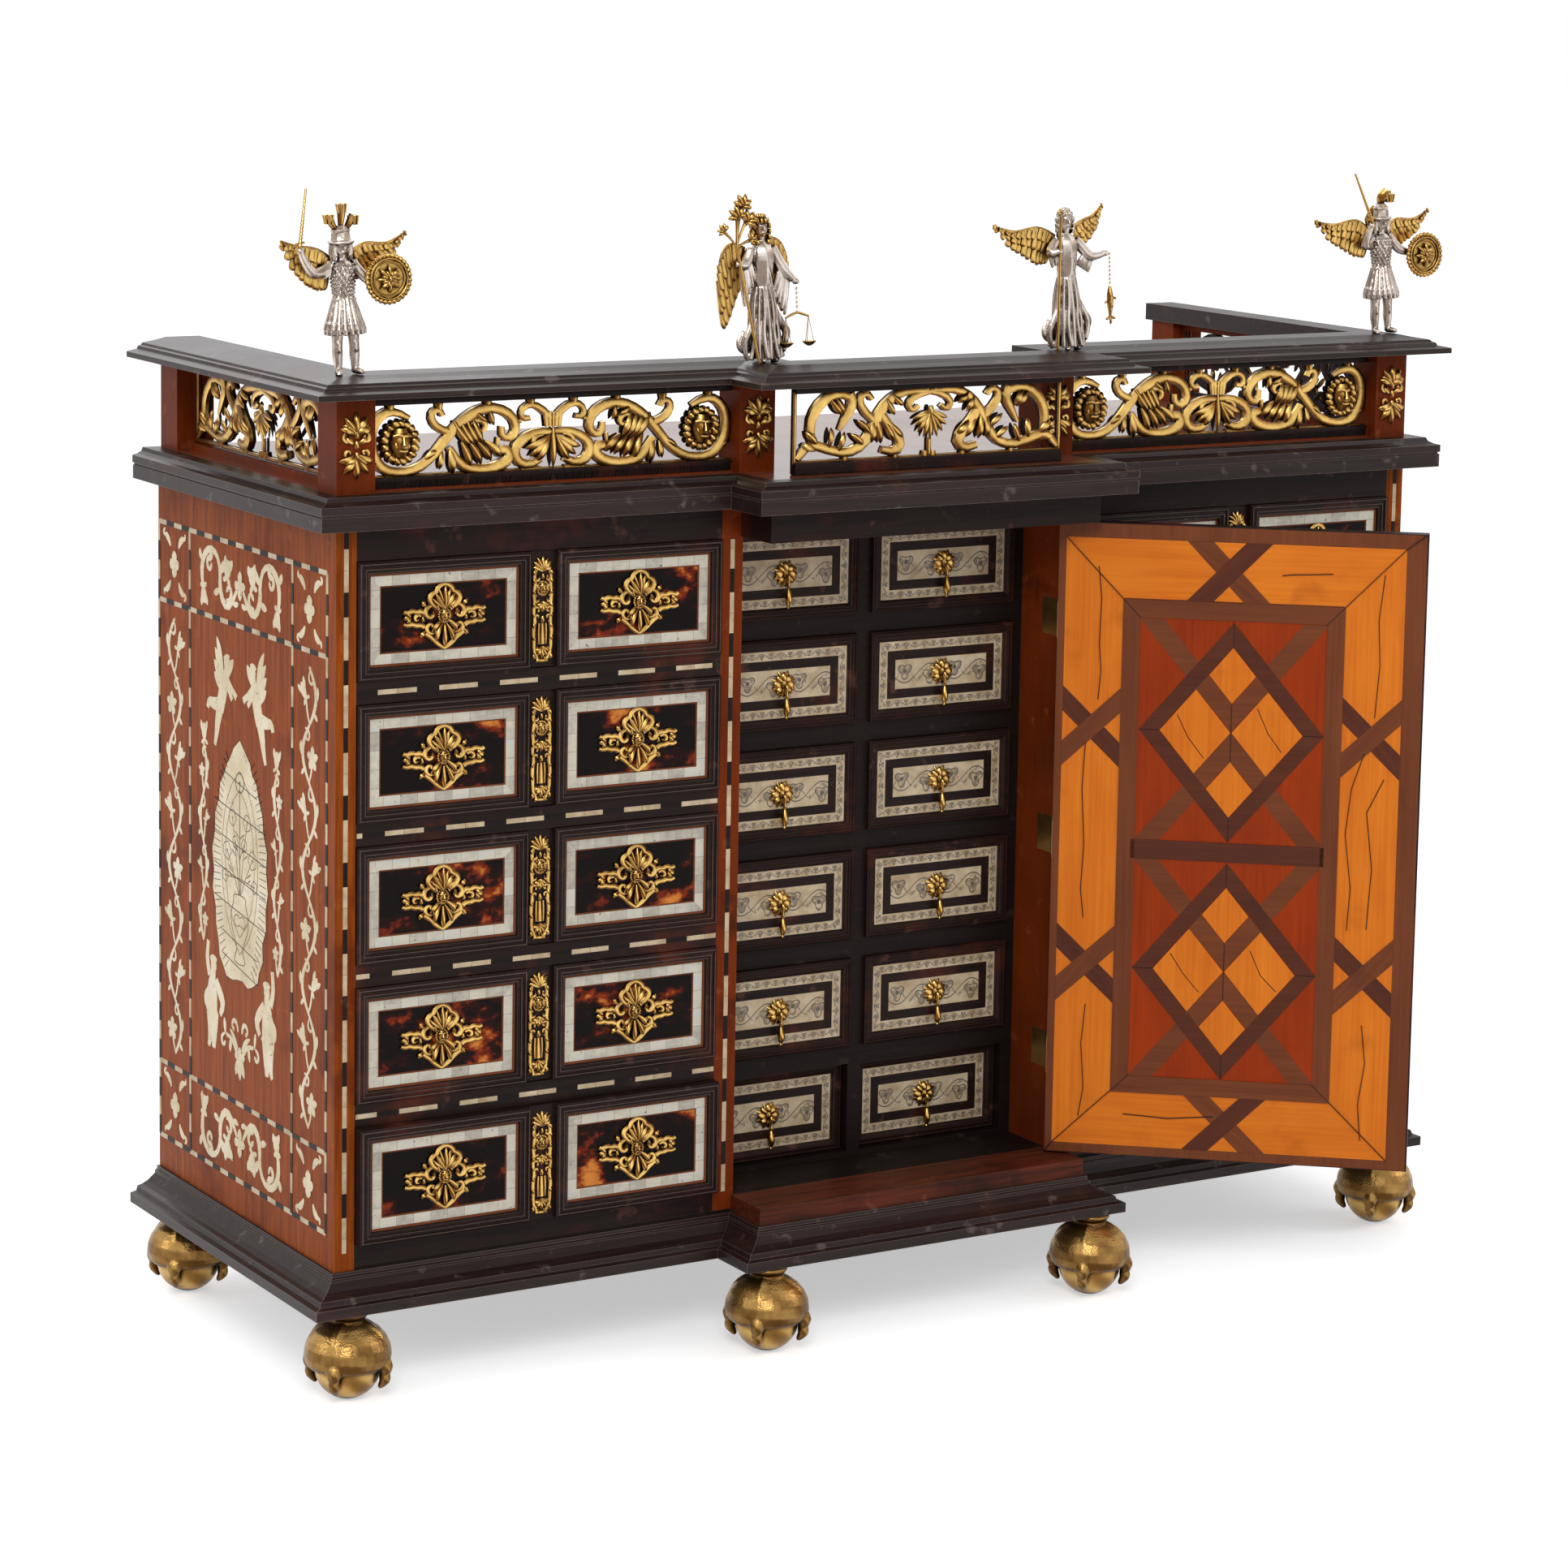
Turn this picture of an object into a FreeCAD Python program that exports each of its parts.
import FreeCAD
import Part
import math
import os
import re

import Sketcher
from FreeCAD import Vector

# Breakfront table cabinet on six ball-and-claw feet. Every length is in millimetres and every angle
# in degrees. X runs along the front to the right, Y to the back and Z up. The origin lies on the
# ground under the middle of the whole object, open door included.

SIZES = {
    # carcass
    "carcass_width": 1078,
    "carcass_depth": 361,
    "side_thickness": 18,
    "back_thickness": 12,
    "foot_height": 73,
    "plinth_height": 15,
    "plinth_width": 70,
    "bottom_thickness": 18,
    "floor_thickness": 12,
    "top_thickness": 10,
    "centre_width": 368,
    "bay_sill_height": 18.2,
    "bay_head_height": 44.1,
    "rail_depth": 18,
    "left_partition_thickness": 20,
    "right_partition_thickness": 26,
    "ceiling_thickness": 12,
    "frieze_height": 43.5,
    # breakfront and mouldings
    "block_inset": 18,
    "block_depth": 50,
    "base_height": 30,
    "base_overhang": 28,
    "cornice_height": 26.5,
    "cornice_overhang": 24,
    # wide drawers of the two bays
    "drawer_opening_height": 98,
    "dust_board_thickness": 18.3,
    "drawer_side_play": 0.4,
    "drawer_seat_play": 0.3,
    "drawer_head_play": 0.5,
    "drawer_front_thickness": 16,
    "drawer_front_setback": 2.5,
    "drawer_rear_gap": 20.5,
    "drawer_board": 8,
    "drawer_side_height": 78,
    "drawer_bottom_thickness": 5,
    "ajar_pull": 8,
    "frame_band": 12.5,
    "frame_thickness": 7,
    "frame_slope": 9,
    "keyhole_strip": 24,
    "pearl_width": 10,
    "veneer_thickness": 1.5,
    "cartouche_length": 76,
    "cartouche_height": 50,
    "mount_thickness": 4,
    "keyhole_mount_width": 20,
    "keyhole_mount_height": 91,
    # nest of small drawers
    "nest_setback": 57,
    "nest_door_gap": 0.3,
    "nest_floor": 3.7,
    "nest_head": 3.8,
    "nest_divider": 13,
    "shelf_thickness": 16.5,
    "small_front_thickness": 14,
    "small_rear_gap": 19,
    "small_board": 6,
    "small_side_height": 60,
    "small_bottom_thickness": 4,
    "small_frame_band": 12,
    "small_frame_thickness": 7,
    "small_frame_slope": 8,
    "small_border_width": 8,
    "low_row_setback": 14,
    # drop pulls
    "rosette_radius": 11.5,
    "rosette_thickness": 3,
    "pull_pin_radius": 1.2,
    "pull_pin_play": 0.05,
    "pull_eye_radius": 2.6,
    "pull_eye_length": 4,
    "pull_ear_thickness": 1.6,
    "pull_ear_gap": 4.6,
    "pull_stand_off": 4,
    "pull_length": 30,
    "pull_stem_radius": 1.3,
    "pull_drop_radius": 3.6,
    # door and hinges
    "door_thickness": 14,
    "door_edge_gap": 0.6,
    "door_foot_gap": 1.5,
    "door_head_gap": 2,
    "door_open_angle": 140,
    "door_moulding_inset": 42,
    "door_moulding_band": 22,
    "door_moulding_thickness": 6,
    "door_border_width": 12,
    "door_mount_radius": 34,
    "hinge_stand_off": 2.5,
    "hinge_inset": 88,
    "hinge_leaf_height": 33,
    "hinge_leaf_width": 26,
    "hinge_leaf_thickness": 1.2,
    "hinge_knuckle_radius": 2.4,
    "hinge_pin_radius": 1.2,
    "hinge_pin_play": 0.05,
    "hinge_knuckle_play": 0.3,
    # gallery
    "post_width": 34,
    "post_depth": 35,
    "post_height": 78.5,
    "rear_post_inset": 6,
    "handrail_height": 16,
    "handrail_overhang": 29,
    "handrail_inner": 38,
    "strip_height": 7,
    "strip_depth": 10,
    "strip_setback": 12,
    "fret_thickness": 5,
    "fret_ring_width": 8,
    "centre_fret_inset": 28,
    "centre_fret_border": 5,
    "centre_fret_setback": 3,
    "post_mount_width": 24,
    "post_mount_height": 60,
    "post_mount_thickness": 3,
    # feet
    "ball_radius": 27.5,
    "ball_flat": 0.4,
    "claw_radius": 35,
    "claw_skirt_height": 36,
    "claw_neck_radius": 17,
    "claw_flange_radius": 23,
    "claw_flange_thickness": 4,
    "toe_radius": 6,
    "toe_drop": 13,
    "corner_foot_inset": 9,
    "front_foot_reach": 8,
    "rear_foot_inset": 42,
    "centre_foot_reach": 64,
    "curved_seat_gap": 0.3,
    # finial figures
    "figure_height": 118,
    "outer_figure_inset": 17,
    "outer_figure_setback": 17,
    "centre_figure_inset": 13,
    "centre_figure_reach": 12,
    "wing_span": 122,
    "wing_thickness": 3,
    "shield_radius": 18,
    "shield_thickness": 3,
    "sword_length": 62,
    "staff_length": 124,
    "staff_radius": 1.3,
}

WIDE_ROWS = 5
SMALL_ROWS = 6
SIDES = {"left": -1, "right": 1}

# Shares of a height or a length that shape the outlines below.
BASE_SHARES = [(0, 0), (1, 0), (1, 0.28), (0.8, 0.32), (0.76, 0.46), (0.6, 0.5), (0.42, 0.58),
               (0.24, 0.72), (0.17, 0.78), (0.17, 0.86), (0.1, 0.9), (0.1, 1), (0, 1)]
CORNICE_SHARES = [(0, 0), (0.98, 0), (0.98, 0.44), (0.93, 0.46), (0.93, 0.5), (1, 0.52), (1, 0.76),
                  (0.82, 0.8), (0.66, 0.88), (0.6, 1), (0, 1)]
HANDRAIL_SHARES = [(1, 0), (1, 0.3), (0.9, 0.34), (0.68, 0.42), (0.64, 0.58), (0.56, 0.62),
                   (0.5, 0.74), (0.1, 0.86), (-0.24, 1)]
CARTOUCHE_SHARES = [(0.5, 0), (0.38, 0.16), (0.3, 0.14), (0.22, 0.3), (0.14, 0.5), (0, 0.56),
                    (-0.14, 0.5), (-0.22, 0.3), (-0.3, 0.14), (-0.38, 0.16), (-0.5, 0),
                    (-0.38, -0.16), (-0.3, -0.14), (-0.2, -0.28), (-0.1, -0.34), (0, -0.5),
                    (0.1, -0.34), (0.2, -0.28), (0.3, -0.14), (0.38, -0.16)]
POST_MOUNT_SHARES = [(0, -0.5), (0.3, -0.34), (0.5, -0.2), (0.24, -0.08), (0.3, 0.06), (0.5, 0.2),
                     (0.34, 0.36), (0, 0.5), (-0.34, 0.36), (-0.5, 0.2), (-0.3, 0.06),
                     (-0.24, -0.08), (-0.5, -0.2), (-0.3, -0.34)]
# Rings of a pierced panel: place along its free length, and place up it and radius as shares of its
# height.
FRET_PAIR_SHARES = [(0.3, 0.62, 0.38), (0.7, 0.4, 0.4)]
WING_SHARES = [(0.02, 0.0), (0.1, 0.12), (0.24, 0.16), (0.5, 0.3), (0.42, 0.02), (0.3, -0.12),
               (0.14, -0.2), (0.02, -0.12)]
FOLDED_WING_SHARES = [(0.02, 0.06), (0.12, 0.2), (0.24, 0.14), (0.27, -0.1), (0.24, -0.32),
                      (0.16, -0.4), (0.06, -0.2), (0.02, -0.1)]

doc = FreeCAD.newDocument("cabinet")
sheet = doc.addObject("Spreadsheet::Sheet", "Sizes")
for number, (alias, size) in enumerate(SIZES.items(), start=1):
    sheet.set(f"A{number}", alias)
    sheet.set(f"B{number}", str(size))
    sheet.setAlias(f"B{number}", alias)
doc.recompute()

ALIAS = re.compile(r"\b(" + "|".join(sorted(SIZES, key=len, reverse=True)) + r")\b")
subparts = []


def bound(expression):
    """Return the expression with every alias read from the sheet."""
    return ALIAS.sub(r"Sizes.\1", str(expression))


def value(expression):
    """Return what an expression on the sheet is worth now."""
    return float(sheet.evalExpression(bound(expression)))


def bind(thing, **sizes):
    """Bind properties of a document object to expressions; double underscores stand for dots."""
    for name, expression in sizes.items():
        thing.setExpression(name.replace("__", "."), bound(expression))
    return thing


# Heights above the ground
Z_PLINTH = "foot_height"
Z_BOTTOM = "(foot_height + plinth_height)"
Z_FLOOR = f"({Z_BOTTOM} + bottom_thickness)"
Z_COMPARTMENT = f"({Z_FLOOR} + floor_thickness)"
Z_BAY = f"({Z_FLOOR} + bay_sill_height)"
PITCH = "(drawer_opening_height + dust_board_thickness)"
Z_BAY_HEAD = f"({Z_BAY} + {WIDE_ROWS} * {PITCH} - dust_board_thickness)"
Z_TOP = f"({Z_BAY_HEAD} + bay_head_height)"
Z_TRAY = f"({Z_TOP} + top_thickness)"
Z_CEILING = f"({Z_TOP} - frieze_height)"
COMPARTMENT_HEIGHT = f"({Z_CEILING} - {Z_COMPARTMENT})"
Z_RAIL = f"({Z_TRAY} + post_height)"
Z_FIGURES = f"({Z_RAIL} + handrail_height)"
Z_NEST = f"({Z_COMPARTMENT} + nest_floor)"
SMALL_OPENING = (f"(({Z_CEILING} - nest_head - {Z_NEST} - {SMALL_ROWS - 1} * shelf_thickness)"
                 f" / {SMALL_ROWS})")
SMALL_PITCH = f"({SMALL_OPENING} + shelf_thickness)"
Z_NEST_HEAD = f"({Z_NEST} + {SMALL_ROWS} * {SMALL_PITCH} - shelf_thickness)"
DOOR_HEIGHT = f"({COMPARTMENT_HEIGHT} - door_foot_gap - door_head_gap)"
Z_DOOR = f"({Z_COMPARTMENT} + door_foot_gap)"

# Places across and from front to back
X_SIDE = "(carcass_width / 2)"
X_BAY = "(carcass_width / 2 - side_thickness)"
X_PARTITION = "(centre_width / 2)"
BAY_WIDTH = f"({X_BAY} - {X_PARTITION})"
X_LEFT_JAMB = f"(left_partition_thickness - {X_PARTITION})"
X_RIGHT_JAMB = f"({X_PARTITION} - right_partition_thickness)"
DOOR_WIDTH = f"({X_RIGHT_JAMB} - {X_LEFT_JAMB} - 2 * door_edge_gap)"
X_HINGE = f"({X_RIGHT_JAMB} - door_edge_gap / 2)"
DOOR_REACH = (f"(hinge_stand_off + ({DOOR_WIDTH} + door_edge_gap / 2) * sin(door_open_angle)"
              " - (hinge_stand_off + door_thickness) * cos(door_open_angle))")
Y_FRONT = f"(({DOOR_REACH} - carcass_depth) / 2)"
Y_BACK = f"({Y_FRONT} + carcass_depth)"
Y_INNER_BACK = f"({Y_BACK} - back_thickness)"
Y_BLOCK = f"({Y_FRONT} - block_depth)"
Y_HINGE = f"({Y_FRONT} - hinge_stand_off)"
Y_NEST = f"({Y_FRONT} + nest_setback)"
INNER_DEPTH = "(carcass_depth - back_thickness)"
DRAWER_LENGTH = (f"({INNER_DEPTH} - drawer_front_setback - drawer_front_thickness"
                 " - drawer_rear_gap)")
SMALL_LENGTH = f"({INNER_DEPTH} - nest_setback - small_front_thickness - small_rear_gap)"
BLOCK = f"({X_PARTITION} - block_inset)"


def board(name, x, y, z, length, width, height):
    """A rectangular board from its low corner and its three sizes."""
    piece = doc.addObject("Part::Box", name)
    bind(piece, Length=length, Width=width, Height=height)
    return bind(piece, Placement__Base__x=x, Placement__Base__y=y, Placement__Base__z=z)


def feature(name, shape):
    """A piece whose shape is worked out from the sheet's values."""
    piece = doc.addObject("Part::Feature", name)
    piece.Shape = shape
    return piece


def cut(name, base, tools):
    """The base with every tool taken off."""
    for number, tool in enumerate(tools):
        step = doc.addObject("Part::Cut", f"{name}{number}")
        step.Base = base
        step.Tool = tool
        base = step
    return base


def group(label, pieces):
    """One sub-part that holds several separate solids."""
    whole = doc.addObject("Part::Compound", label)
    whole.Links = pieces
    whole.Label = label
    subparts.append(whole)
    return whole


def single(label, piece):
    """One sub-part that is a single solid."""
    piece.Label = label
    subparts.append(piece)
    return piece


def prism(points, direction):
    """Extrude a closed polygon."""
    corners = [Vector(*point) for point in points]
    return Part.Face(Part.makePolygon(corners + corners[:1])).extrude(direction)


def mitred_runs(name, plan, profile, z):
    """Straight moulding runs round a plan of right angles, mitred where they meet.

    The plan holds a point and the way its corner moves outwards; the profile holds offsets from
    the plan and heights above z.
    """
    runs = []
    for number, ends in enumerate(zip(plan, plan[1:])):
        near, far = [[Vector(px + wx * out, py + wy * out, z + up) for out, up in profile]
                     for (px, py), (wx, wy) in ends]
        outlines = [near, far]
        for one in range(len(profile)):
            two = (one + 1) % len(profile)
            outlines.append([near[one], near[two], far[two], far[one]])
        faces = [Part.Face(Part.makePolygon(outline + outline[:1])) for outline in outlines]
        run = Part.makeSolid(Part.makeShell(faces))
        if run.Volume < 0:
            run.reverse()
        runs.append(feature(f"{name}{number}", run))
    return runs


def breakfront_plan():
    """The carcass outline from the rear left round the front to the rear right."""
    wide, block = value(X_SIDE), value(BLOCK)
    back, front, proud = value(Y_BACK), value(Y_FRONT), value(Y_BLOCK)
    left = [((-wide, back), (-1, 0)), ((-wide, front), (-1, -1)), ((-block, front), (-1, -1)),
            ((-block, proud), (-1, -1))]
    right = [((-x, y), (-wx, wy)) for (x, y), (wx, wy) in reversed(left)]
    return left + right


def scaled(shares, width, height):
    """Turn shares into sizes."""
    return [(across * width, up * height) for across, up in shares]


def frame_ring(low, size, band, thickness, slope):
    """A picture-frame moulding that stands on a face and slopes down to its inner edge.

    low is the corner at the back of the frame with the least x and z; the frame rises towards -Y.
    """
    x, y, z = low
    width, height = size
    whole = Part.makeBox(width, thickness, height, Vector(x, y - thickness, z))
    wires = []
    for inset, depth in ((band, y), (band - slope, y - thickness)):
        corners = [Vector(x + inset, depth, z + inset), Vector(x + width - inset, depth, z + inset),
                   Vector(x + width - inset, depth, z + height - inset),
                   Vector(x + inset, depth, z + height - inset)]
        wires.append(Part.makePolygon(corners + corners[:1]))
    return whole.cut(Part.makeLoft(wires, True, True))


def flat_ring(low, size, band, thickness):
    """A flat border of even width that lies on a face."""
    x, y, z = low
    width, height = size
    whole = Part.makeBox(width, thickness, height, Vector(x, y - thickness, z))
    inner = Part.makeBox(width - 2 * band, thickness, height - 2 * band,
                         Vector(x + band, y - thickness, z + band))
    return whole.cut(inner)


def outline_plate(shares, centre, width, height, thickness):
    """A flat plate with an outline in shares, standing in front of the centre point."""
    x, y, z = centre
    return prism([(x + across, y, z + up) for across, up in scaled(shares, width, height)],
                 Vector(0, -thickness, 0))


# Carcass boards
left_side = board("LeftSide", f"-{X_SIDE}", Y_FRONT, Z_PLINTH, "side_thickness", "carcass_depth",
                  f"{Z_TOP} - {Z_PLINTH}")
single("left_side_panel", left_side)
right_side = board("RightSide", X_BAY, Y_FRONT, Z_PLINTH, "side_thickness", "carcass_depth",
                   f"{Z_TOP} - {Z_PLINTH}")
single("right_side_panel", right_side)
back = board("Back", f"-{X_BAY}", Y_INNER_BACK, Z_PLINTH, f"2 * {X_BAY}", "back_thickness",
             f"{Z_TOP} - {Z_PLINTH}")
single("back_panel", back)

plinth_rails = [
    board("PlinthFront", f"-{X_BAY}", Y_FRONT, Z_PLINTH, f"2 * {X_BAY}", "plinth_width",
          "plinth_height"),
    board("PlinthRear", f"-{X_BAY}", f"{Y_INNER_BACK} - plinth_width", Z_PLINTH, f"2 * {X_BAY}",
          "plinth_width", "plinth_height"),
    board("BottomBoard", f"-{X_BAY}", Y_FRONT, Z_BOTTOM, f"2 * {X_BAY}", INNER_DEPTH,
          "bottom_thickness"),
    board("CompartmentFloor", X_LEFT_JAMB, Y_FRONT, Z_FLOOR, f"{X_RIGHT_JAMB} - {X_LEFT_JAMB}",
          INNER_DEPTH, "floor_thickness"),
]
group("carcass_bottom", plinth_rails)

top_boards = [
    board("TopBoard", f"-{X_SIDE}", Y_FRONT, Z_TOP, "carcass_width", "carcass_depth",
          "top_thickness"),
    board("TopBoardCentre", f"-{BLOCK}", Y_BLOCK, Z_TOP, f"2 * {BLOCK}",
          "block_depth", "top_thickness"),
    board("CompartmentCeiling", X_LEFT_JAMB, Y_FRONT, Z_CEILING,
          f"{X_RIGHT_JAMB} - {X_LEFT_JAMB}", INNER_DEPTH, "ceiling_thickness"),
]
group("carcass_top", top_boards)

left_partition = board("LeftPartition", f"-{X_PARTITION}", Y_FRONT, Z_FLOOR,
                       "left_partition_thickness", INNER_DEPTH, f"{Z_TOP} - {Z_FLOOR}")
single("left_partition", left_partition)
single("sill_block", board("SillBlock", f"-{BLOCK}", Y_BLOCK, Z_PLINTH,
                           f"2 * {BLOCK}", "block_depth",
                           f"{Z_COMPARTMENT} - {Z_PLINTH}"))
single("frieze_block", board("FriezeBlock", f"-{BLOCK}", Y_BLOCK, Z_CEILING,
                             f"2 * {BLOCK}", "block_depth", f"{Z_TOP} - {Z_CEILING}"))


# Hinges: each has a leaf let into the jamb, a leaf let into the door's edge and a pin
HINGE_HEIGHTS = [f"({Z_DOOR} + hinge_inset)", f"({Z_DOOR} + {DOOR_HEIGHT} / 2)",
                 f"({Z_DOOR} + {DOOR_HEIGHT} - hinge_inset)"]
THIRD = "(hinge_leaf_height / 3)"


def jamb_recess(number, height):
    """The shallow cut in the jamb that takes a leaf."""
    return board(f"JambRecess{number}", X_RIGHT_JAMB, Y_FRONT,
                 f"{height} - hinge_leaf_height / 2", "hinge_leaf_thickness",
                 "hinge_leaf_width - hinge_stand_off", "hinge_leaf_height")


def door_recess(number, height):
    """The shallow cut in the door's edge that takes a leaf, with the door shut."""
    return board(f"DoorRecess{number}",
                 f"{X_RIGHT_JAMB} - door_edge_gap - hinge_leaf_thickness", Y_FRONT,
                 f"{height} - hinge_leaf_height / 2", "hinge_leaf_thickness", "door_thickness",
                 "hinge_leaf_height")


def knuckle(low, high):
    """A length of hinge barrel with its bore, from low to high."""
    foot = Vector(value(X_HINGE), value(Y_HINGE), low)
    bore = value("hinge_pin_radius + hinge_pin_play")
    outer = Part.makeCylinder(value("hinge_knuckle_radius"), high - low, foot)
    return outer.cut(Part.makeCylinder(bore, high - low, foot))


def hinge_leaf(height, reach, plate_x, spans):
    """A leaf plate with its barrels; spans are the barrels' shares of the leaf height."""
    tall, thick = value("hinge_leaf_height"), value("hinge_leaf_thickness")
    low = value(height) - tall / 2
    play = value("hinge_knuckle_play") / 2
    leaf = None
    for start, end in spans:
        span_low = low + start * tall + (play if start > 0 else 0)
        span_high = low + end * tall - (play if end < 1 else 0)
        neck = Part.makeBox(thick, reach - value("hinge_stand_off") + thick, span_high - span_low,
                            Vector(plate_x, value(Y_HINGE), span_low))
        axis_foot = Vector(value(X_HINGE), value(Y_HINGE), span_low)
        bore = Part.makeCylinder(value("hinge_pin_radius + hinge_pin_play"),
                                 span_high - span_low, axis_foot)
        piece = knuckle(span_low, span_high).fuse(neck).cut(bore)
        leaf = piece if leaf is None else leaf.fuse(piece)
    plate = Part.makeBox(thick, reach, tall, Vector(plate_x, value(Y_FRONT), low))
    return leaf.fuse(plate).removeSplitter()


jamb = board("RightPartitionBlank", X_RIGHT_JAMB, Y_FRONT, Z_FLOOR, "right_partition_thickness",
             INNER_DEPTH, f"{Z_TOP} - {Z_FLOOR}")
recesses = [jamb_recess(number, height) for number, height in enumerate(HINGE_HEIGHTS)]
single("right_partition", cut("RightPartition", jamb, recesses))

OUTER_SPANS_SHARES = [(0, 1 / 3), (2 / 3, 1)]
MIDDLE_SPAN_SHARES = [(1 / 3, 2 / 3)]
jamb_parts = []
door_leaves = []
for number, height in enumerate(HINGE_HEIGHTS):
    jamb_reach = value("hinge_leaf_width - hinge_stand_off")
    door_plate_x = value(f"{X_RIGHT_JAMB} - door_edge_gap - hinge_leaf_thickness")
    jamb_parts.append(feature(f"JambLeaf{number}", hinge_leaf(
        height, jamb_reach, value(X_RIGHT_JAMB), OUTER_SPANS_SHARES)))
    door_leaves.append(feature(f"DoorLeaf{number}", hinge_leaf(
        height, value("door_thickness"), door_plate_x, MIDDLE_SPAN_SHARES)))
    pin = doc.addObject("Part::Cylinder", f"HingePin{number}")
    bind(pin, Radius="hinge_pin_radius", Height="hinge_leaf_height",
         Placement__Base__x=X_HINGE, Placement__Base__y=Y_HINGE,
         Placement__Base__z=f"{height} - hinge_leaf_height / 2")
    jamb_parts.append(pin)
group("jamb_hinges", jamb_parts)


# Bay boards: sills with runners, dust boards and heads
def bay_boards(side):
    """The boards of one bay that carry and part its wide drawers."""
    x = f"-{X_BAY}" if side == "left" else X_PARTITION
    boards = [board(f"{side}BaySill", x, Y_FRONT, Z_FLOOR, BAY_WIDTH, INNER_DEPTH,
                    "bay_sill_height")]
    for row in range(1, WIDE_ROWS):
        boards.append(board(f"{side}DustBoard{row}", x, Y_FRONT,
                            f"{Z_BAY} + {row} * {PITCH} - dust_board_thickness", BAY_WIDTH,
                            INNER_DEPTH, "dust_board_thickness"))
    boards.append(board(f"{side}BayHead", x, Y_FRONT, Z_BAY_HEAD, BAY_WIDTH, "rail_depth",
                        "bay_head_height"))
    return boards


group("bay_boards", bay_boards("left") + bay_boards("right"))

# Nest of the small drawers
NEST_DEPTH = f"({INNER_DEPTH} - nest_setback)"
DOOR_CORNER = (f"({X_HINGE} - (hinge_stand_off + door_thickness) * sin(door_open_angle)"
               " - door_edge_gap / 2 * cos(door_open_angle))")
X_NEST_RIGHT = f"({DOOR_CORNER} - nest_door_gap)"
COLUMN = f"(({X_NEST_RIGHT} - {X_LEFT_JAMB} - nest_divider) / 2)"
COLUMN_X = {"left": X_LEFT_JAMB, "right": f"({X_NEST_RIGHT} - {COLUMN})"}
NEST_WIDTH = f"({X_RIGHT_JAMB} - {X_LEFT_JAMB})"
nest = [
    board("NestFloor", X_LEFT_JAMB, Y_NEST, Z_COMPARTMENT, NEST_WIDTH, NEST_DEPTH, "nest_floor"),
    board("NestHead", X_LEFT_JAMB, Y_NEST, Z_NEST_HEAD, NEST_WIDTH, NEST_DEPTH,
          f"{Z_CEILING} - {Z_NEST_HEAD}"),
    board("NestLining", X_NEST_RIGHT, Y_NEST, Z_NEST, f"{X_RIGHT_JAMB} - {X_NEST_RIGHT}",
          NEST_DEPTH, f"{Z_NEST_HEAD} - {Z_NEST}"),
    board("NestDivider", f"{X_LEFT_JAMB} + {COLUMN}", Y_NEST, Z_NEST, "nest_divider", NEST_DEPTH,
          f"{Z_NEST_HEAD} - {Z_NEST}"),
]
for side in SIDES:
    for row in range(1, SMALL_ROWS):
        nest.append(board(f"{side}Shelf{row}", COLUMN_X[side], Y_NEST,
                          f"{Z_NEST} + {row} * {SMALL_PITCH} - shelf_thickness", COLUMN,
                          NEST_DEPTH, "shelf_thickness"))
group("drawer_nest", nest)

# Mouldings round the breakfront
plan = breakfront_plan()
group("base_moulding", mitred_runs(
    "BaseRun", plan, scaled(BASE_SHARES, value("base_overhang"), value("base_height")),
    value(Z_PLINTH)))
group("cornice_moulding", mitred_runs(
    "CorniceRun", plan, scaled(CORNICE_SHARES, value("cornice_overhang"),
                               value("cornice_height")),
    value(f"{Z_TRAY} - cornice_height")))
rail_profile = scaled(HANDRAIL_SHARES, value("handrail_overhang"), value("handrail_height"))
rail_profile += [(value("-handrail_inner"), value("handrail_height")),
                 (value("-handrail_inner"), 0)]
group("handrail", mitred_runs("HandrailRun", plan, rail_profile, value(Z_RAIL)))

# Gallery posts and strips
POST_X = {"corner": X_SIDE, "centre": f"({BLOCK} + post_width / 12)"}
posts = []
for side, sign in SIDES.items():
    for kind, outer in POST_X.items():
        x = f"-{outer}" if sign < 0 else f"{outer} - post_width"
        posts.append(board(f"{side}{kind}Post", x, Y_FRONT, Z_TRAY, "post_width", "post_depth",
                           "post_height"))
    x = f"-{X_SIDE}" if sign < 0 else f"{X_SIDE} - post_width"
    posts.append(board(f"{side}RearPost", x, f"{Y_BACK} - rear_post_inset - post_depth", Z_TRAY,
                       "post_width", "post_depth", "post_height"))

FRET_LENGTH = f"({X_SIDE} - post_width - {POST_X['centre']})"
SIDE_FRET_LENGTH = "(carcass_depth - rear_post_inset - 2 * post_depth)"
FRET_HEIGHT = "(post_height - 2 * strip_height)"
for level, z in (("Low", Z_TRAY), ("High", f"({Z_RAIL} - strip_height)")):
    for side, sign in SIDES.items():
        x = POST_X["centre"] if sign > 0 else f"post_width - {X_SIDE}"
        posts.append(board(f"{side}{level}Strip", x, f"{Y_FRONT} + strip_setback", z, FRET_LENGTH,
                           "strip_depth", "strip_height"))
        x = f"{X_SIDE} - strip_setback - strip_depth" if sign > 0 else f"strip_setback - {X_SIDE}"
        posts.append(board(f"{side}{level}SideStrip", x, f"{Y_FRONT} + post_depth", z,
                           "strip_depth", SIDE_FRET_LENGTH, "strip_height"))
group("gallery_frame", posts)


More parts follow.
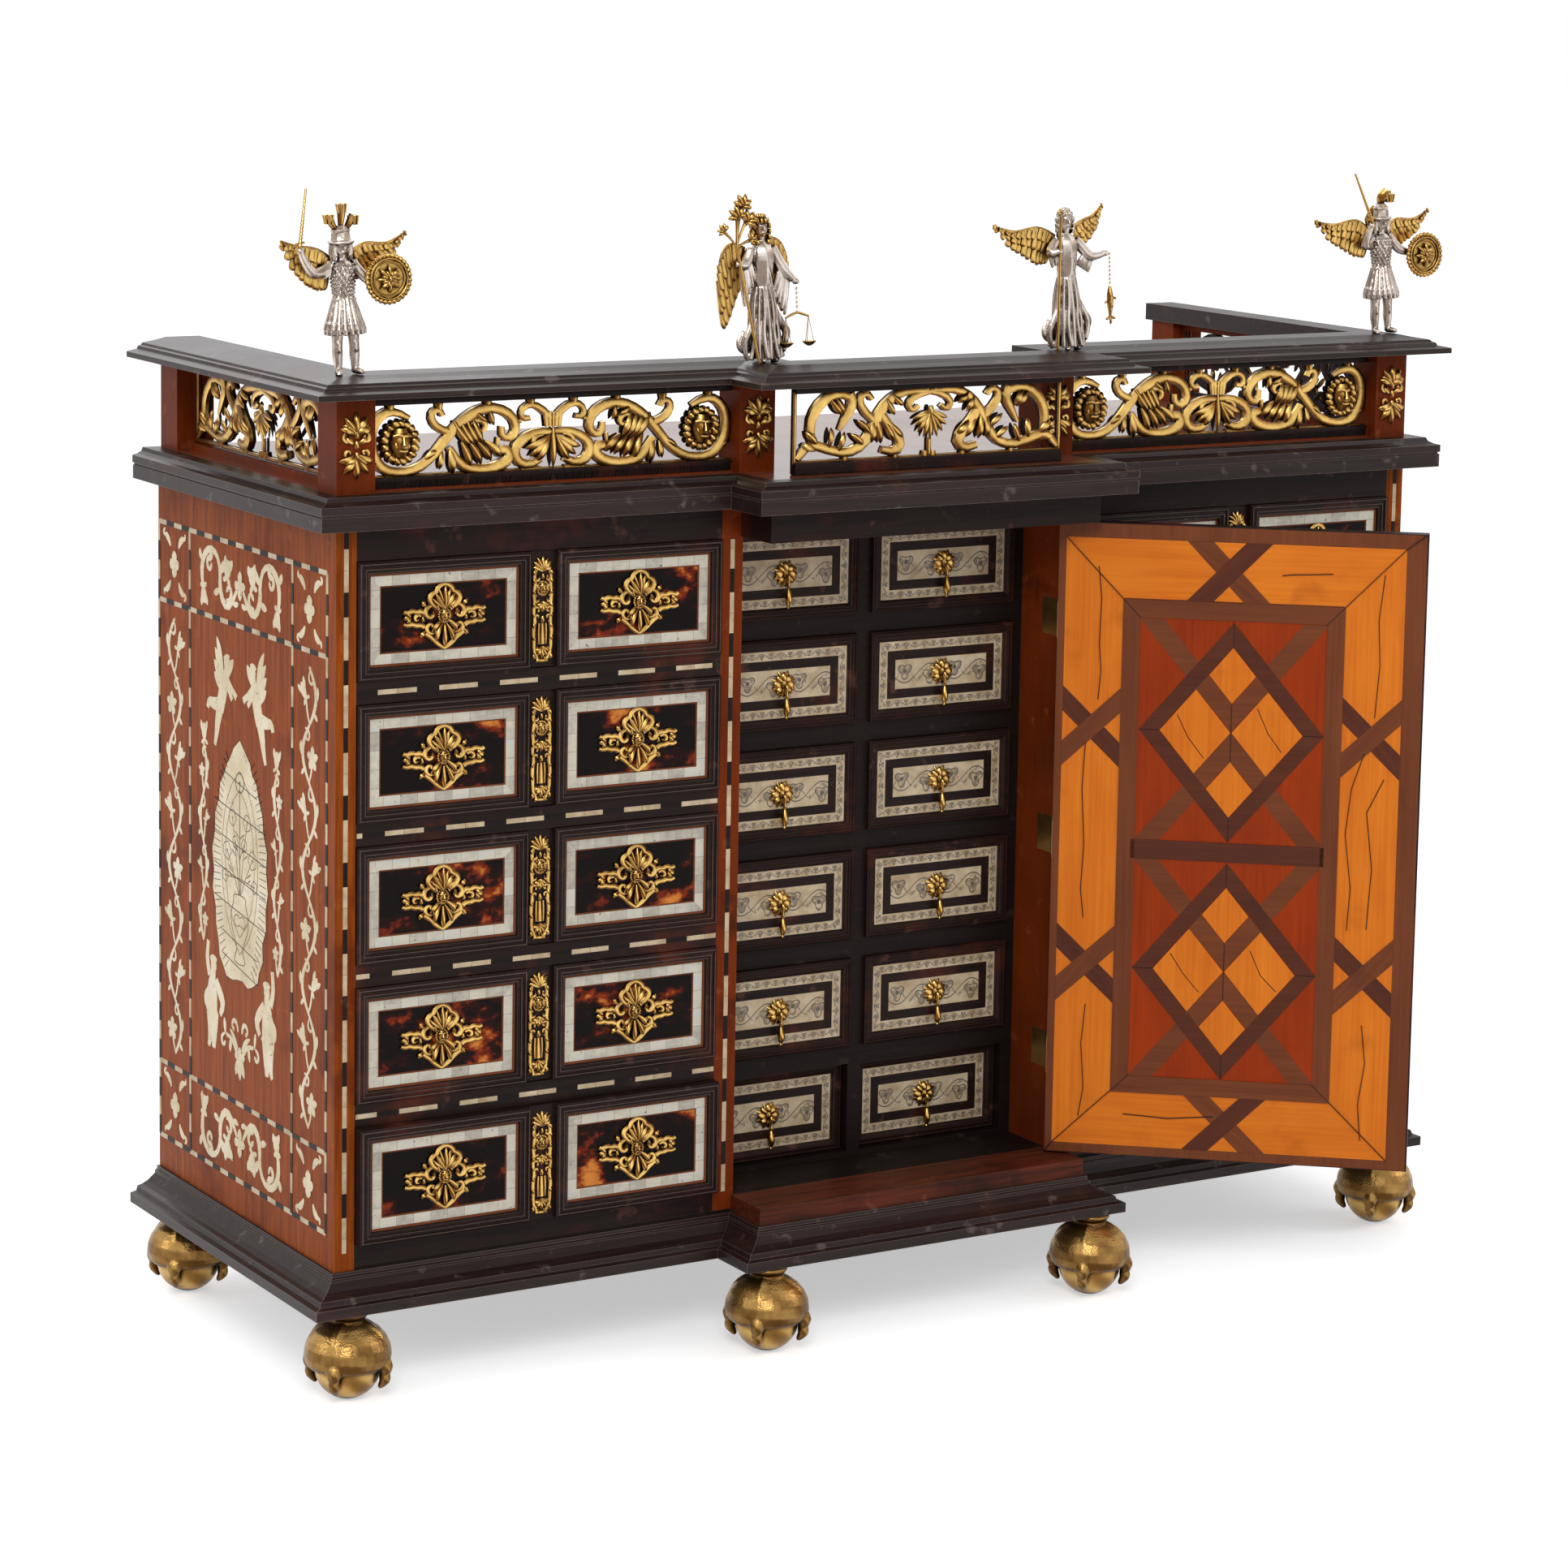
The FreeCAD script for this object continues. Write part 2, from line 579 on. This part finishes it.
# Pierced gilt panels
def pierced_panel(length, height, end_radius):
    """Scrollwork as one plate: a chain of linked rings with a fan in the middle, base on z = 0."""
    thick, band = value("fret_thickness"), value("fret_ring_width")
    middle = length / 2
    rings = [(end_radius, height / 2, end_radius)]
    start = 2 * end_radius - band / 2
    room = middle - height / 2 - start + band / 2
    for across, up, radius in FRET_PAIR_SHARES:
        rings.append((start + across * room, up * height, radius * height))
    rings += [(length - x, z, radius) for x, z, radius in rings]
    plate = Part.makeCylinder(height / 2, thick, Vector(middle, 0, height / 2), Vector(0, 1, 0))
    for x, z, radius in rings:
        plate = plate.fuse(Part.makeCylinder(radius, thick, Vector(x, 0, z), Vector(0, 1, 0)))
    for x, z, radius in rings[1:3] + rings[4:]:
        plate = plate.cut(Part.makeCylinder(radius - band, thick, Vector(x, 0, z),
                                            Vector(0, 1, 0)))
    return plate.common(Part.makeBox(length, thick, height)).removeSplitter()


def fret_feature(name, shape, x, y, z, turned=False):
    """Place a pierced panel with its low corner at a point, turned along Y for the sides."""
    piece = feature(name, shape)
    turn = FreeCAD.Rotation(Vector(0, 0, 1), 90 if turned else 0)
    piece.Placement = FreeCAD.Placement(Vector(x, y, z), turn)
    return piece


fret_high = value(FRET_HEIGHT)
end_radius = fret_high / 2
front_fret = pierced_panel(value(FRET_LENGTH), fret_high, end_radius)
side_fret = pierced_panel(value(SIDE_FRET_LENGTH), fret_high, end_radius)
centre_high = value("post_height")
centre_wide = value(f"2 * ({BLOCK} - centre_fret_inset)")
border = value("centre_fret_border")
centre_fret = pierced_panel(centre_wide - 2 * border, centre_high - 2 * border,
                            centre_high / 2 - border)
centre_fret.translate(Vector(border, 0, border))
surround = flat_ring((0, value("fret_thickness"), 0), (centre_wide, centre_high), border,
                     value("fret_thickness"))
frets = []
fret_z = value(f"{Z_TRAY} + strip_height")
centring = value("(strip_depth - fret_thickness) / 2")
fret_y = value(f"{Y_FRONT} + strip_setback") + centring
for side, sign in SIDES.items():
    x = value(POST_X["centre"]) if sign > 0 else value(f"post_width - {X_SIDE}")
    frets.append(fret_feature(f"{side}FrontFret", front_fret, x, fret_y, fret_z))
    inner = value(f"{X_SIDE} - strip_setback") - centring
    x = inner if sign > 0 else value("fret_thickness") - inner
    frets.append(fret_feature(f"{side}SideFret", side_fret, x,
                              value(f"{Y_FRONT} + post_depth"), fret_z, turned=True))
frets.append(fret_feature("CentreFret", centre_fret.fuse(surround).removeSplitter(),
                          value(f"centre_fret_inset - {BLOCK}"),
                          value(f"{Y_BLOCK} + centre_fret_setback"), value(Z_TRAY)))
group("gallery_frets", frets)

post_mounts = []
for side, sign in SIDES.items():
    for kind, outer in POST_X.items():
        centre = (sign * value(f"{outer} - post_width / 2"), value(Y_FRONT),
                  value(f"{Z_TRAY} + post_height / 2"))
        post_mounts.append(feature(f"{side}{kind}Mount", outline_plate(
            POST_MOUNT_SHARES, centre, value("post_mount_width"), value("post_mount_height"),
            value("post_mount_thickness"))))
group("post_mounts", post_mounts)


# Ball-and-claw feet
def turned_body(name, outline):
    """A turned solid: an outline of (radius, height) expressions revolved about Z."""
    body = doc.addObject("PartDesign::Body", name)
    sketch = body.newObject("Sketcher::SketchObject", f"{name}Sketch")
    upright = next(plane for plane in body.Origin.OriginFeatures if plane.Role == "XZ_Plane")
    sketch.AttachmentSupport = [(upright, "")]
    sketch.MapMode = "FlatFace"
    points = [Vector(value(radius), value(height), 0) for radius, height in outline]
    for number, point in enumerate(points):
        sketch.addGeometry(Part.LineSegment(point, points[(number + 1) % len(points)]), False)
    for number in range(len(points)):
        following = (number + 1) % len(points)
        sketch.addConstraint(Sketcher.Constraint("Coincident", number, 2, following, 1))
    for number, (radius, height) in enumerate(outline):
        for axis, kind, expression in ((0, "DistanceX", radius), (1, "DistanceY", height)):
            if value(expression) == 0:
                only = "PointOnObject"
                target = -2 if axis == 0 else -1
                sketch.addConstraint(Sketcher.Constraint(only, number, 1, target))
                continue
            index = sketch.addConstraint(
                Sketcher.Constraint(kind, -1, 1, number, 1, value(expression)))
            sketch.setExpression(f"Constraints[{index}]", bound(expression))
    turn = body.newObject("PartDesign::Revolution", f"{name}Turn")
    turn.Profile = sketch
    turn.ReferenceAxis = (sketch, ["V_Axis"])
    turn.Angle = 360
    body.Tip = turn
    doc.recompute()
    return body


BALL_CENTRE = "(ball_radius - ball_flat)"
cap_outline = [
    ("0", "claw_skirt_height"), ("claw_radius - toe_radius / 2", "claw_skirt_height"),
    ("claw_radius", "claw_skirt_height + toe_radius / 2"),
    ("claw_radius - toe_radius / 3", f"{BALL_CENTRE} + ball_radius - toe_radius"),
    ("claw_radius - toe_radius * 1.5", f"{BALL_CENTRE} + ball_radius + toe_radius / 2"),
    ("claw_neck_radius", "foot_height - claw_flange_thickness - toe_radius / 2"),
    ("claw_neck_radius", "foot_height - claw_flange_thickness"),
    ("claw_flange_radius", "foot_height - claw_flange_thickness / 2"),
    ("claw_flange_radius", "foot_height"), ("0", "foot_height"),
]
claw_cap = turned_body("ClawCap", cap_outline)
ball = Part.makeSphere(value("ball_radius"), Vector(0, 0, value(BALL_CENTRE)))
flat = value("2 * ball_radius")
ball = ball.common(Part.makeBox(flat, flat, flat, Vector(-flat / 2, -flat / 2, 0)))
claw = claw_cap.Shape.copy()
for quarter in range(4):
    angle = math.radians(45 + 90 * quarter)
    spot = value("claw_radius - toe_radius * 0.7")
    foot = Vector(spot * math.cos(angle), spot * math.sin(angle),
                  value("claw_skirt_height - toe_drop"))
    nail = value("toe_radius * 0.9")
    claw = claw.fuse(Part.makeCylinder(value("toe_radius"), value("toe_drop + toe_radius"), foot))
    claw = claw.fuse(Part.makeCone(nail * 0.4, value("toe_radius"), nail, foot - Vector(0, 0, nail)))
seat = Part.makeSphere(value("ball_radius + curved_seat_gap"), Vector(0, 0, value(BALL_CENTRE)))
claw = claw.cut(seat).removeSplitter()
claw_cap.Visibility = False

foot_places = []
for side, sign in SIDES.items():
    outer = value(f"{X_SIDE} - corner_foot_inset")
    foot_places.append((sign * outer, value(f"{Y_FRONT} - front_foot_reach")))
    foot_places.append((sign * outer, value(f"{Y_BACK} - rear_foot_inset")))
    foot_places.append((sign * value(BLOCK),
                        value(f"{Y_FRONT} - centre_foot_reach")))
balls = []
claws = []
for number, (x, y) in enumerate(foot_places):
    for name, shape, store in (("Ball", ball, balls), ("Claw", claw, claws)):
        piece = feature(f"{name}{number}", shape)
        piece.Placement.Base = Vector(x, y, 0)
        store.append(piece)
group("ball_feet", balls)
group("foot_claws", claws)


# Finial figures
def limb(start, end, radius, tip_radius):
    """A tapered round limb between two points."""
    way = end - start
    return Part.makeCone(radius, tip_radius, way.Length, start, way)


def figure(armoured):
    """A standing winged figure in silver, feet at the origin, facing -Y."""
    tall = value("figure_height")
    hip, chest, neck = tall * 0.42, tall * 0.66, tall * 0.78
    width = tall * 0.11
    shoulder = Vector(width, 0, neck - tall * 0.05)
    pieces = [Part.makeCone(width * 1.0, width * 0.7, chest - hip, Vector(0, 0, hip)),
              Part.makeCone(width * 0.7, width * 0.9, neck - chest, Vector(0, 0, chest)),
              Part.makeCylinder(width * 0.32, tall * 0.06, Vector(0, 0, neck)),
              Part.makeSphere(tall * 0.068, Vector(0, 0, tall * 0.87))]
    if armoured:
        pieces.append(Part.makeCone(width * 1.5, width * 0.9, tall * 0.16,
                                    Vector(0, 0, hip - tall * 0.1)))
        for sign in (-1, 1):
            pieces.append(limb(Vector(sign * width * 0.7, 0, 0),
                               Vector(sign * width * 0.6, 0, hip), width * 0.3, width * 0.5))
            pieces.append(Part.makeBox(width * 0.7, width * 1.4, width * 0.35,
                                       Vector(sign * width * 0.7 - width * 0.35, -width, 0)))
        pieces.append(Part.makeCone(tall * 0.072, tall * 0.03, tall * 0.1,
                                    Vector(0, 0, tall * 0.9)))
    else:
        pieces.append(Part.makeCone(width * 1.5, width * 0.95, hip, Vector(0, 0, 0)))
        pieces.append(Part.makeCone(tall * 0.07, tall * 0.04, tall * 0.06,
                                    Vector(0, 0, tall * 0.89)))
    right_hand = Vector(-width * 2.9, -width * 0.9, neck * 0.98)
    left_hand = Vector(width * 2.9, -width * 0.9, chest)
    if not armoured:
        right_hand = Vector(-width * 2.2, -width * 1.2, chest)
    mirrored = Vector(-shoulder.x, shoulder.y, shoulder.z)
    for root, hand in ((mirrored, right_hand), (shoulder, left_hand)):
        elbow = (root + hand) * 0.5 - Vector(0, 0, tall * 0.07)
        pieces += [limb(root, elbow, width * 0.36, width * 0.28),
                   limb(elbow, hand, width * 0.28, width * 0.2),
                   Part.makeSphere(width * 0.36, root), Part.makeSphere(width * 0.29, elbow),
                   Part.makeSphere(width * 0.3, hand)]
    rod = value("staff_radius")
    if armoured:
        tip = right_hand + Vector(-0.12, 0, 0.99) * value("sword_length")
        pieces.append(limb(right_hand - Vector(-0.12, 0, 0.99) * width, tip, rod, rod / 2))
    else:
        pieces.append(Part.makeCylinder(rod, value("staff_length"),
                                        Vector(right_hand.x, right_hand.y, 0)))
    whole = pieces[0].multiFuse(pieces[1:]).removeSplitter()
    return whole, left_hand, width


def wing_plate(shares, sign, depth):
    """One flat wing behind the back of a figure."""
    tall, span = value("figure_height"), value("wing_span")
    points = [(sign * across * span, depth, tall * 0.68 + up * span) for across, up in shares]
    return prism(points, Vector(0, value("wing_thickness"), 0))


warriors = []
robed = []
gilt = []
FIGURES = {
    "warrior": (f"{X_SIDE} - outer_figure_inset", f"{Y_FRONT} + outer_figure_setback"),
    "robed": (f"{BLOCK} - centre_figure_inset", f"{Y_FRONT} - centre_figure_reach"),
}
for kind, (x_place, y_place) in FIGURES.items():
    for side, sign in SIDES.items():
        armoured = kind == "warrior"
        spot = Vector(sign * value(x_place), value(y_place), value(Z_FIGURES))
        shape, hand, width = figure(armoured)
        shape.translate(spot)
        body = feature(f"{side}{kind}", shape)
        (warriors if armoured else robed).append(body)
        lowered = kind == "robed" and side == "left"
        outline = FOLDED_WING_SHARES if lowered else WING_SHARES
        for way in SIDES.values():
            wing = wing_plate(outline, way, width * 0.6)
            wing.translate(spot)
            back_seat = shape.copy()
            back_seat.translate(Vector(0, value("curved_seat_gap"), 0))
            gilt.append(feature(f"{side}{kind}Wing{way + 1}", wing.cut(back_seat)))
        if armoured:
            grip = width * 0.3 + value("curved_seat_gap")
            disc = Part.makeCylinder(value("shield_radius"), value("shield_thickness"),
                                     spot + hand - Vector(0, grip, 0), Vector(0, -1, 0))
            gilt.append(feature(f"{side}Shield", disc))
group("warrior_finials", warriors)
group("robed_finials", robed)
group("finial_wings_and_shields", gilt)


# Door, built shut and then turned open about its hinges
door_x = f"({X_LEFT_JAMB} + door_edge_gap)"
door_blank = board("DoorBlank", door_x, Y_FRONT, Z_DOOR, DOOR_WIDTH, "door_thickness",
                   DOOR_HEIGHT)
recesses = [door_recess(number, height) for number, height in enumerate(HINGE_HEIGHTS)]
door_panel = cut("DoorPanel", door_blank, recesses)
inset = value("door_moulding_inset")
face = (value(door_x) + inset, value(Y_FRONT), value(Z_DOOR) + inset)
face_size = (value(DOOR_WIDTH) - 2 * inset, value(DOOR_HEIGHT) - 2 * inset)
band = value("door_moulding_band")
field = (face[0] + band, face[1], face[2] + band)
field_size = (face_size[0] - 2 * band, face_size[1] - 2 * band)
edge, veneer = value("door_border_width"), value("veneer_thickness")
door_centre = (face[0] + face_size[0] / 2, face[1] - veneer, face[2] + face_size[1] / 2)
dressing = [
    feature("DoorMoulding", frame_ring(face, face_size, band, value("door_moulding_thickness"),
                                       band / 2)),
    feature("DoorBorder", flat_ring(field, field_size, edge, veneer)),
    feature("DoorShellPanel", Part.makeBox(
        field_size[0] - 2 * edge, veneer, field_size[1] - 2 * edge,
        Vector(field[0] + edge, field[1] - veneer, field[2] + edge))),
    feature("DoorMount", outline_plate(CARTOUCHE_SHARES, door_centre,
                                       value("3 * door_mount_radius"),
                                       value("2 * door_mount_radius"),
                                       value("mount_thickness"))),
]
door_nodes = [single("door_panel", door_panel), group("door_front_dressing", dressing),
              group("door_hinge_leaves", door_leaves)]
open_turn = FreeCAD.Rotation(Vector(0, 0, 1), value("door_open_angle"))
hinge_point = Vector(value(X_HINGE), value(Y_HINGE), 0)
for node in door_nodes:
    node.Placement = FreeCAD.Placement(Vector(), open_turn, hinge_point)


# Drawers
def drawer_box(name, low, width, length, wall, side_height, bottom):
    """The four boards behind a drawer front; low is the box's front low corner."""
    x, y, z = low
    return [
        board(f"{name}Bottom", x, y, z, width, length, bottom),
        board(f"{name}LeftBoard", x, y, f"{z} + {bottom}", wall, length,
              f"{side_height} - {bottom}"),
        board(f"{name}RightBoard", f"{x} + {width} - {wall}", y, f"{z} + {bottom}", wall, length,
              f"{side_height} - {bottom}"),
        board(f"{name}BackBoard", f"{x} + {wall}", f"{y} + {length} - {wall}",
              f"{z} + {bottom}", f"{width} - 2 * {wall}", wall, f"{side_height} - {bottom}"),
    ]


def framed_panel(name, low, size, band, thickness, slope, border_width):
    """A moulding, its pale border and its dark panel on a drawer front."""
    x, y, z = low
    width, height = size
    veneer = value("veneer_thickness")
    inner = (x + band, y, z + band)
    inner_size = (width - 2 * band, height - 2 * band)
    panel = Part.makeBox(inner_size[0] - 2 * border_width, veneer,
                         inner_size[1] - 2 * border_width,
                         Vector(inner[0] + border_width, y - veneer, inner[2] + border_width))
    return [feature(f"{name}Moulding", frame_ring(low, size, band, thickness, slope)),
            feature(f"{name}Border", flat_ring(inner, inner_size, border_width, veneer)),
            feature(f"{name}Panel", panel)]


def wide_drawer(side, row):
    """One wide drawer; rows count from the top."""
    name = f"{side}_drawer_{row}"
    x_open = f"-{X_BAY}" if side == "left" else X_PARTITION
    x = f"({x_open} + drawer_side_play)"
    pulled = "ajar_pull" if (side, row) == ("left", WIDE_ROWS) else "0"
    y = f"({Y_FRONT} + drawer_front_setback - {pulled})"
    z = f"({Z_BAY} + {WIDE_ROWS - row} * {PITCH} + drawer_seat_play)"
    width = f"({BAY_WIDTH} - 2 * drawer_side_play)"
    height = "(drawer_opening_height - drawer_seat_play - drawer_head_play)"
    pieces = [board(f"{name}Front", x, y, z, width, "drawer_front_thickness", height)]
    pieces += drawer_box(name, (x, f"({y} + drawer_front_thickness)", z), width, DRAWER_LENGTH,
                         "drawer_board", "drawer_side_height", "drawer_bottom_thickness")
    frame_width = value(f"({width} - keyhole_strip) / 2")
    for number, shift in enumerate((0, value(width) - frame_width)):
        low = (value(x) + shift, value(y), value(z))
        pieces += framed_panel(f"{name}Half{number}", low, (frame_width, value(height)),
                               value("frame_band"), value("frame_thickness"),
                               value("frame_slope"), value("pearl_width"))
        centre = (low[0] + frame_width / 2, low[1] - value("veneer_thickness"),
                  low[2] + value(height) / 2)
        pieces.append(feature(f"{name}Cartouche{number}", outline_plate(
            CARTOUCHE_SHARES, centre, value("cartouche_length"), value("cartouche_height"),
            value("mount_thickness"))))
    pieces.append(board(f"{name}KeyholeMount",
                        f"{x} + {width} / 2 - keyhole_mount_width / 2", f"{y} - mount_thickness",
                        f"{z} + ({height} - keyhole_mount_height) / 2", "keyhole_mount_width",
                        "mount_thickness", "keyhole_mount_height"))
    group(name, pieces)


def rosette(name, centre):
    """A rosette with two ears and the pin that a drop swings on."""
    x, y, z = centre
    half_gap, ear = value("pull_ear_gap / 2"), value("pull_ear_thickness")
    reach, eye = value("pull_stand_off"), value("pull_eye_radius")
    disc = Part.makeCylinder(value("rosette_radius"), value("rosette_thickness"), Vector(x, y, z),
                             Vector(0, -1, 0))
    face_y = y - value("rosette_thickness")
    whole = disc
    for sign in (-1, 1):
        start = x + (half_gap if sign > 0 else -half_gap - ear)
        whole = whole.fuse(Part.makeBox(ear, reach + eye, 2 * eye,
                                        Vector(start, face_y - reach - eye, z - eye)))
    pin = Part.makeCylinder(value("pull_pin_radius"), 2 * half_gap, Vector(x - half_gap,
                                                                        face_y - reach, z),
                            Vector(1, 0, 0))
    return feature(name, whole.fuse(pin).removeSplitter())


def drop_pull(name, centre):
    """The hanging drop of a pull, round the pin in front of its rosette."""
    x, y, z = centre
    axis_y = y - value("rosette_thickness") - value("pull_stand_off")
    eye_long, eye = value("pull_eye_length"), value("pull_eye_radius")
    length, ball = value("pull_length"), value("pull_drop_radius")
    foot = Vector(x - eye_long / 2, axis_y, z)
    shape = Part.makeCylinder(eye, eye_long, foot, Vector(1, 0, 0))
    stem = value("pull_stem_radius")
    shape = shape.fuse(Part.makeCylinder(stem, length - ball, Vector(x, axis_y, z - length + ball)))
    shape = shape.fuse(Part.makeSphere(ball, Vector(x, axis_y, z - length + ball)))
    shape = shape.fuse(Part.makeCone(ball * 0.9, stem, 2 * ball,
                                     Vector(x, axis_y, z - length + ball * 1.4)))
    bore = Part.makeCylinder(value("pull_pin_radius + pull_pin_play"), eye_long, foot,
                             Vector(1, 0, 0))
    single(name, feature(name, shape.cut(bore).removeSplitter()))


def small_drawer(side, row):
    """One small drawer with its pull; rows count from the top."""
    name = f"small_drawer_{side}_{row}"
    x = f"({COLUMN_X[side]} + drawer_side_play)"
    deeper = "low_row_setback" if row == SMALL_ROWS else "0"
    y = f"({Y_NEST} + {deeper})"
    z = f"({Z_NEST} + {SMALL_ROWS - row} * {SMALL_PITCH} + drawer_seat_play)"
    width = f"({COLUMN} - 2 * drawer_side_play)"
    height = f"({SMALL_OPENING} - drawer_seat_play - drawer_head_play)"
    pieces = [board(f"{name}Front", x, y, z, width, "small_front_thickness", height)]
    pieces += drawer_box(name, (x, f"({y} + small_front_thickness)", z), width, SMALL_LENGTH,
                         "small_board", "small_side_height", "small_bottom_thickness")
    low = (value(x), value(y), value(z))
    pieces += framed_panel(name, low, (value(width), value(height)), value("small_frame_band"),
                           value("small_frame_thickness"), value("small_frame_slope"),
                           value("small_border_width"))
    centre = (low[0] + value(width) / 2, low[1] - value("veneer_thickness"),
              low[2] + value(height) / 2)
    pieces.append(rosette(f"{name}Rosette", centre))
    group(name, pieces)
    drop_pull(f"pull_{side}_{row}", centre)


for side in SIDES:
    for row in range(1, WIDE_ROWS + 1):
        wide_drawer(side, row)
for side in SIDES:
    for row in range(1, SMALL_ROWS + 1):
        small_drawer(side, row)

doc.recompute()
for thing in doc.Objects:
    if {"Invalid", "Error"} & set(thing.State):
        raise RuntimeError(f"{thing.Label} failed: {thing.State}")
for node in subparts:
    if node.Shape.isNull() or not node.Shape.isValid():
        raise RuntimeError(f"{node.Label} has no valid shape")

os.makedirs("parts", exist_ok=True)
for node in subparts:
    node.Shape.exportStep(f"parts/{node.Label}.step")
print(len(subparts), "sub-parts; front plane at y =", round(value(Y_FRONT), 3))
